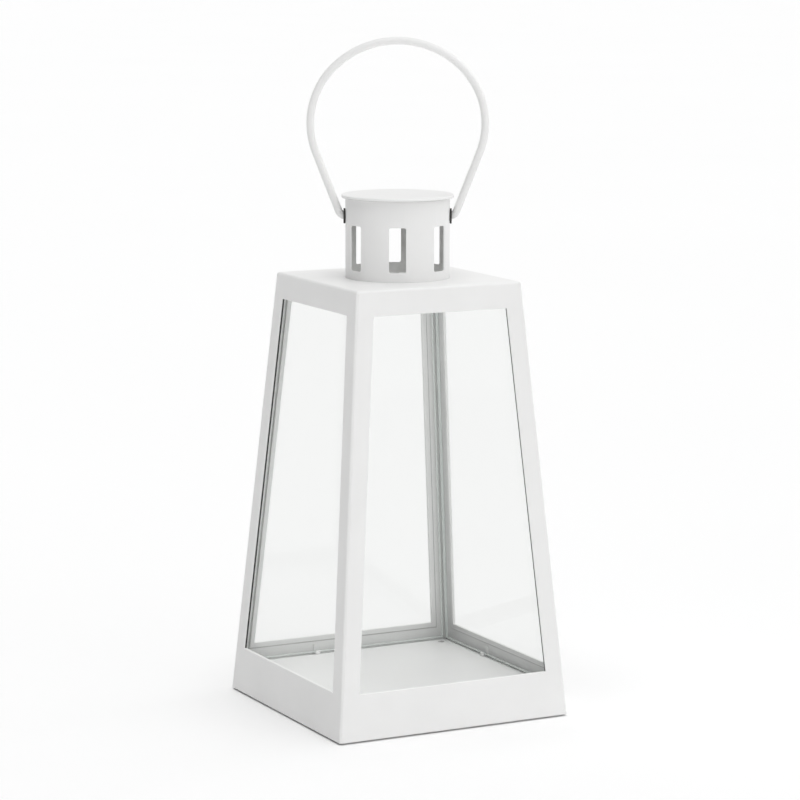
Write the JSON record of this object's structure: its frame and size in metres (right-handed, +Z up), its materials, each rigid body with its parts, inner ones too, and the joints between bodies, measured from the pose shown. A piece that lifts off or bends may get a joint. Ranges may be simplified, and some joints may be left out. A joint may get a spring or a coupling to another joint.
{
  "type": "candle lantern",
  "caption": "Tapered square candle lantern with glazed windows, a base tray, a slotted round chimney with a flat lid, and a swinging wire handle.",
  "frame": {"origin": "on the ground, under the middle of the square base", "axes": "+Z up; the front panel faces -Y and the right panel faces +X; the chimney and the handle are turned 27.3 degrees clockwise seen from above"},
  "size_m": [0.14, 0.14, 0.371],
  "materials": {
    "white_powder_coat": "satin",
    "clear_glass": "clear",
    "dark_steel": "dull"
  },
  "bodies": {
    "base": {"base_tray": "white_powder_coat"},
    "housing": {"front_panel": "white_powder_coat", "right_panel": "white_powder_coat", "rear_panel": "white_powder_coat", "left_panel": "white_powder_coat", "roof_plate": "white_powder_coat", "front_glass": "clear_glass", "right_glass": "clear_glass", "rear_glass": "clear_glass", "left_glass": "clear_glass", "lower_glass_clips": "white_powder_coat", "upper_glass_clips": "white_powder_coat", "chimney_retaining_ring": "white_powder_coat"},
    "chimney": {"chimney_tube": "white_powder_coat", "chimney_lid": "white_powder_coat", "left_handle_washer": "dark_steel", "right_handle_washer": "dark_steel"},
    "handle": {"handle": "white_powder_coat"}
  },
  "joints": [
    {"name": "housing_lift", "type": "slide", "parent": "base", "child": "housing", "axis": [0, 0, 1], "range_m": [0, 0.2]},
    {"name": "chimney_swivel", "type": "hinge", "parent": "housing", "child": "chimney", "pos_m": [0, 0, 0.24], "axis": [0, 0, 1], "continuous": true},
    {"name": "handle_swing", "type": "hinge", "parent": "chimney", "child": "handle", "pos_m": [0, 0, 0.2735], "axis": [0.8886, -0.4587, 0], "range_deg": [-122, 122]}
  ]
}
